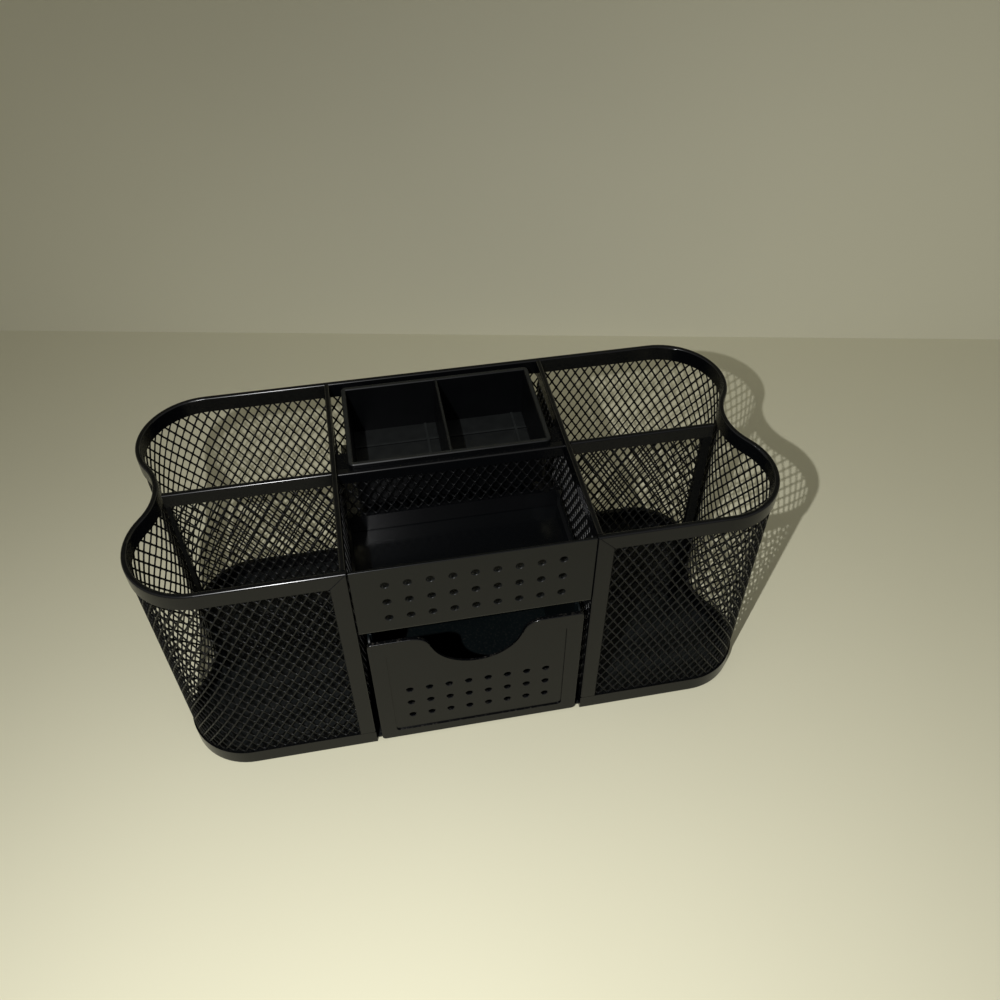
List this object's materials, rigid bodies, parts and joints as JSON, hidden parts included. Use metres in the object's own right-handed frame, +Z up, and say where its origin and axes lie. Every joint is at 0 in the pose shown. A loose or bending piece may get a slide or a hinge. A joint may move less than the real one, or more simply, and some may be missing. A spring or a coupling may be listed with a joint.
{
  "type": "desk organizer with drawer",
  "caption": "Black steel-mesh pen stand with wavy ends, four pen compartments, a small slot, a lift-out tray and a sliding perforated drawer.",
  "frame": {"origin": "middle of the footprint, on the surface that the stand rests on", "axes": "+X to the user's right, +Y from the front (drawer) to the back, +Z up"},
  "size_m": [0.226, 0.1, 0.1045],
  "materials": {
    "strip": "satin black powder coat",
    "sheet": "satin black powder coat",
    "mesh": "satin black powder coat",
    "plastic": "moulded, semi-gloss black"
  },
  "bodies": {
    "stand": {"outer_mesh": "mesh", "top_rim": "strip", "bottom_rim": "strip", "left_post": "strip", "right_post": "strip", "base_plate": "sheet", "left_panel_mesh": "mesh", "left_panel_band": "strip", "left_panel_foot": "strip", "right_panel_mesh": "mesh", "right_panel_band": "strip", "right_panel_foot": "strip", "left_divider_mesh": "mesh", "left_divider_band": "strip", "left_divider_end": "strip", "right_divider_mesh": "mesh", "right_divider_band": "strip", "right_divider_end": "strip", "partition_mesh": "mesh", "partition_foot": "strip", "partition_band": "strip", "shelf_panel": "sheet", "left_front_lug": "strip", "left_rear_lug": "strip", "right_front_lug": "strip", "right_rear_lug": "strip"},
    "drawer": {"drawer_front": "sheet", "drawer_box": "sheet"},
    "tray": {"pen_tray": "plastic"}
  },
  "joints": [
    {"name": "drawer_slide", "type": "slide", "parent": "stand", "child": "drawer", "axis": [0, -1, 0], "range_m": [0, 0.074]},
    {"name": "tray_lift", "type": "slide", "parent": "stand", "child": "tray", "axis": [0, 0, 1], "range_m": [0, 0.03]}
  ]
}
